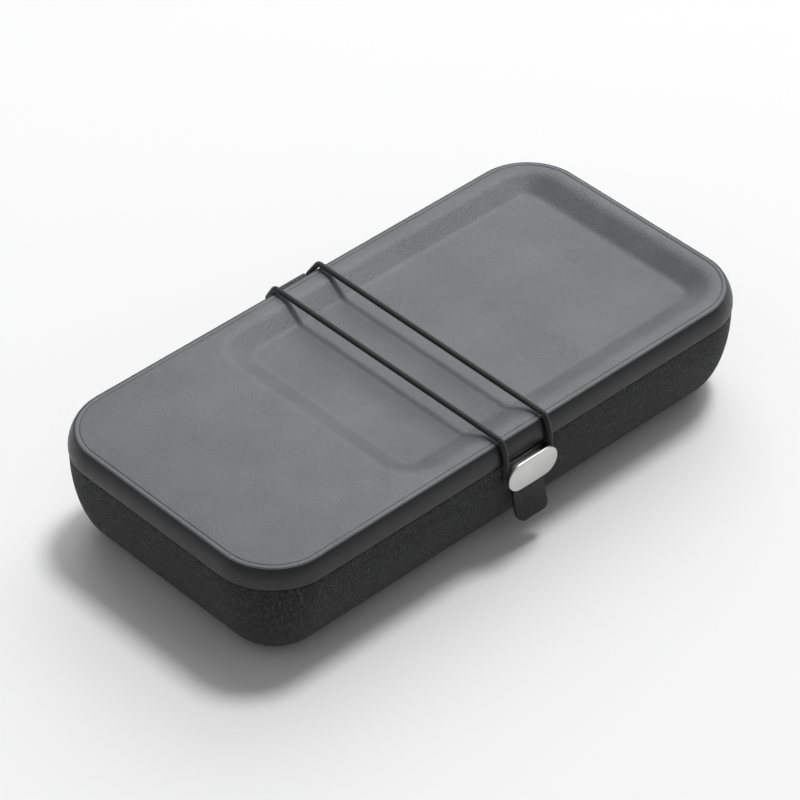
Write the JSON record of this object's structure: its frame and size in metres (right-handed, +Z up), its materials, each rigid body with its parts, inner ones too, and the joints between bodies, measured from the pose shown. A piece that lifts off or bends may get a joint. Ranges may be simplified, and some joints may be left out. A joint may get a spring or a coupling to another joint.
{
  "type": "charging station organizer",
  "caption": "Fabric-covered desk organiser tub with a lift-off leather lid, a valet recess, a built-in wireless charger and an elastic closing loop.",
  "frame": {"origin": "on the table, under the middle of the whole object", "axes": "+X along the length towards the recess end of the lid, -Y to the front with the clasp, +Z up"},
  "size_m": [0.245, 0.1336, 0.0487],
  "materials": {
    "black_plastic": "fine matt moulding",
    "charcoal_fabric": "heathered woven polyester",
    "grey_felt": "short soft felt",
    "screw_steel": "zinc plated",
    "black_rubber": "smooth matt",
    "satin_metal": "satin with bright edges",
    "charcoal_webbing": "dense heathered webbing",
    "slate_leather": "fine pebble grain, mottled",
    "coil_copper": "lacquered wire",
    "ferrite": "matt",
    "pale_foam": "open foam",
    "green_board": "solder resist",
    "black_elastic": "braided round elastic"
  },
  "bodies": {
    "base": {"tub_shell": "black_plastic", "fabric_cover": "charcoal_fabric", "inner_lining": "grey_felt", "bottom_plate": "black_plastic", "bottom_screws": "screw_steel", "rubber_feet": "black_rubber", "clasp_back_plate": "black_plastic", "clasp_neck": "satin_metal", "clasp_face": "satin_metal", "clasp_washer_plate": "screw_steel", "clasp_screws": "screw_steel", "keeper_webbing": "charcoal_webbing", "keeper_anchor_plate": "screw_steel", "keeper_screws": "screw_steel"},
    "lid": {"lid_frame": "black_plastic", "tray_board": "black_plastic", "leather_top": "slate_leather", "rim_seal": "black_rubber", "inner_cover": "black_plastic", "cover_screws": "screw_steel", "cover_felt": "grey_felt", "charging_coil": "coil_copper", "ferrite_disc": "ferrite", "coil_foam": "pale_foam", "circuit_board": "green_board", "board_components": "ferrite", "board_screws": "screw_steel", "usb_socket": "screw_steel"},
    "band": {"elastic_loop": "black_elastic", "cord_ferrule": "screw_steel", "pull_tab": "black_rubber"},
    "left_divider": {"divider_left": "grey_felt"},
    "right_divider": {"divider_right": "grey_felt"}
  },
  "joints": [
    {"name": "lid_lift", "type": "slide", "parent": "base", "child": "lid", "axis": [0, 0, 1], "range_m": [0, 0.06]},
    {"name": "band_swing", "type": "hinge", "parent": "base", "child": "band", "pos_m": [0, 0.0646, 0.0383], "axis": [-1, 0, 0], "range_deg": [0, 190], "deforming": ["elastic_loop", "pull_tab"]},
    {"name": "divider_left_slide", "type": "slide", "parent": "base", "child": "left_divider", "axis": [1, 0, 0], "range_m": [-0.025, 0.019]},
    {"name": "divider_right_slide", "type": "slide", "parent": "base", "child": "right_divider", "axis": [1, 0, 0], "range_m": [-0.015, 0.025]}
  ],
  "couplings": [
    {"joint": "band_swing", "follows": "lid_lift", "rad_per_m": 55}
  ]
}
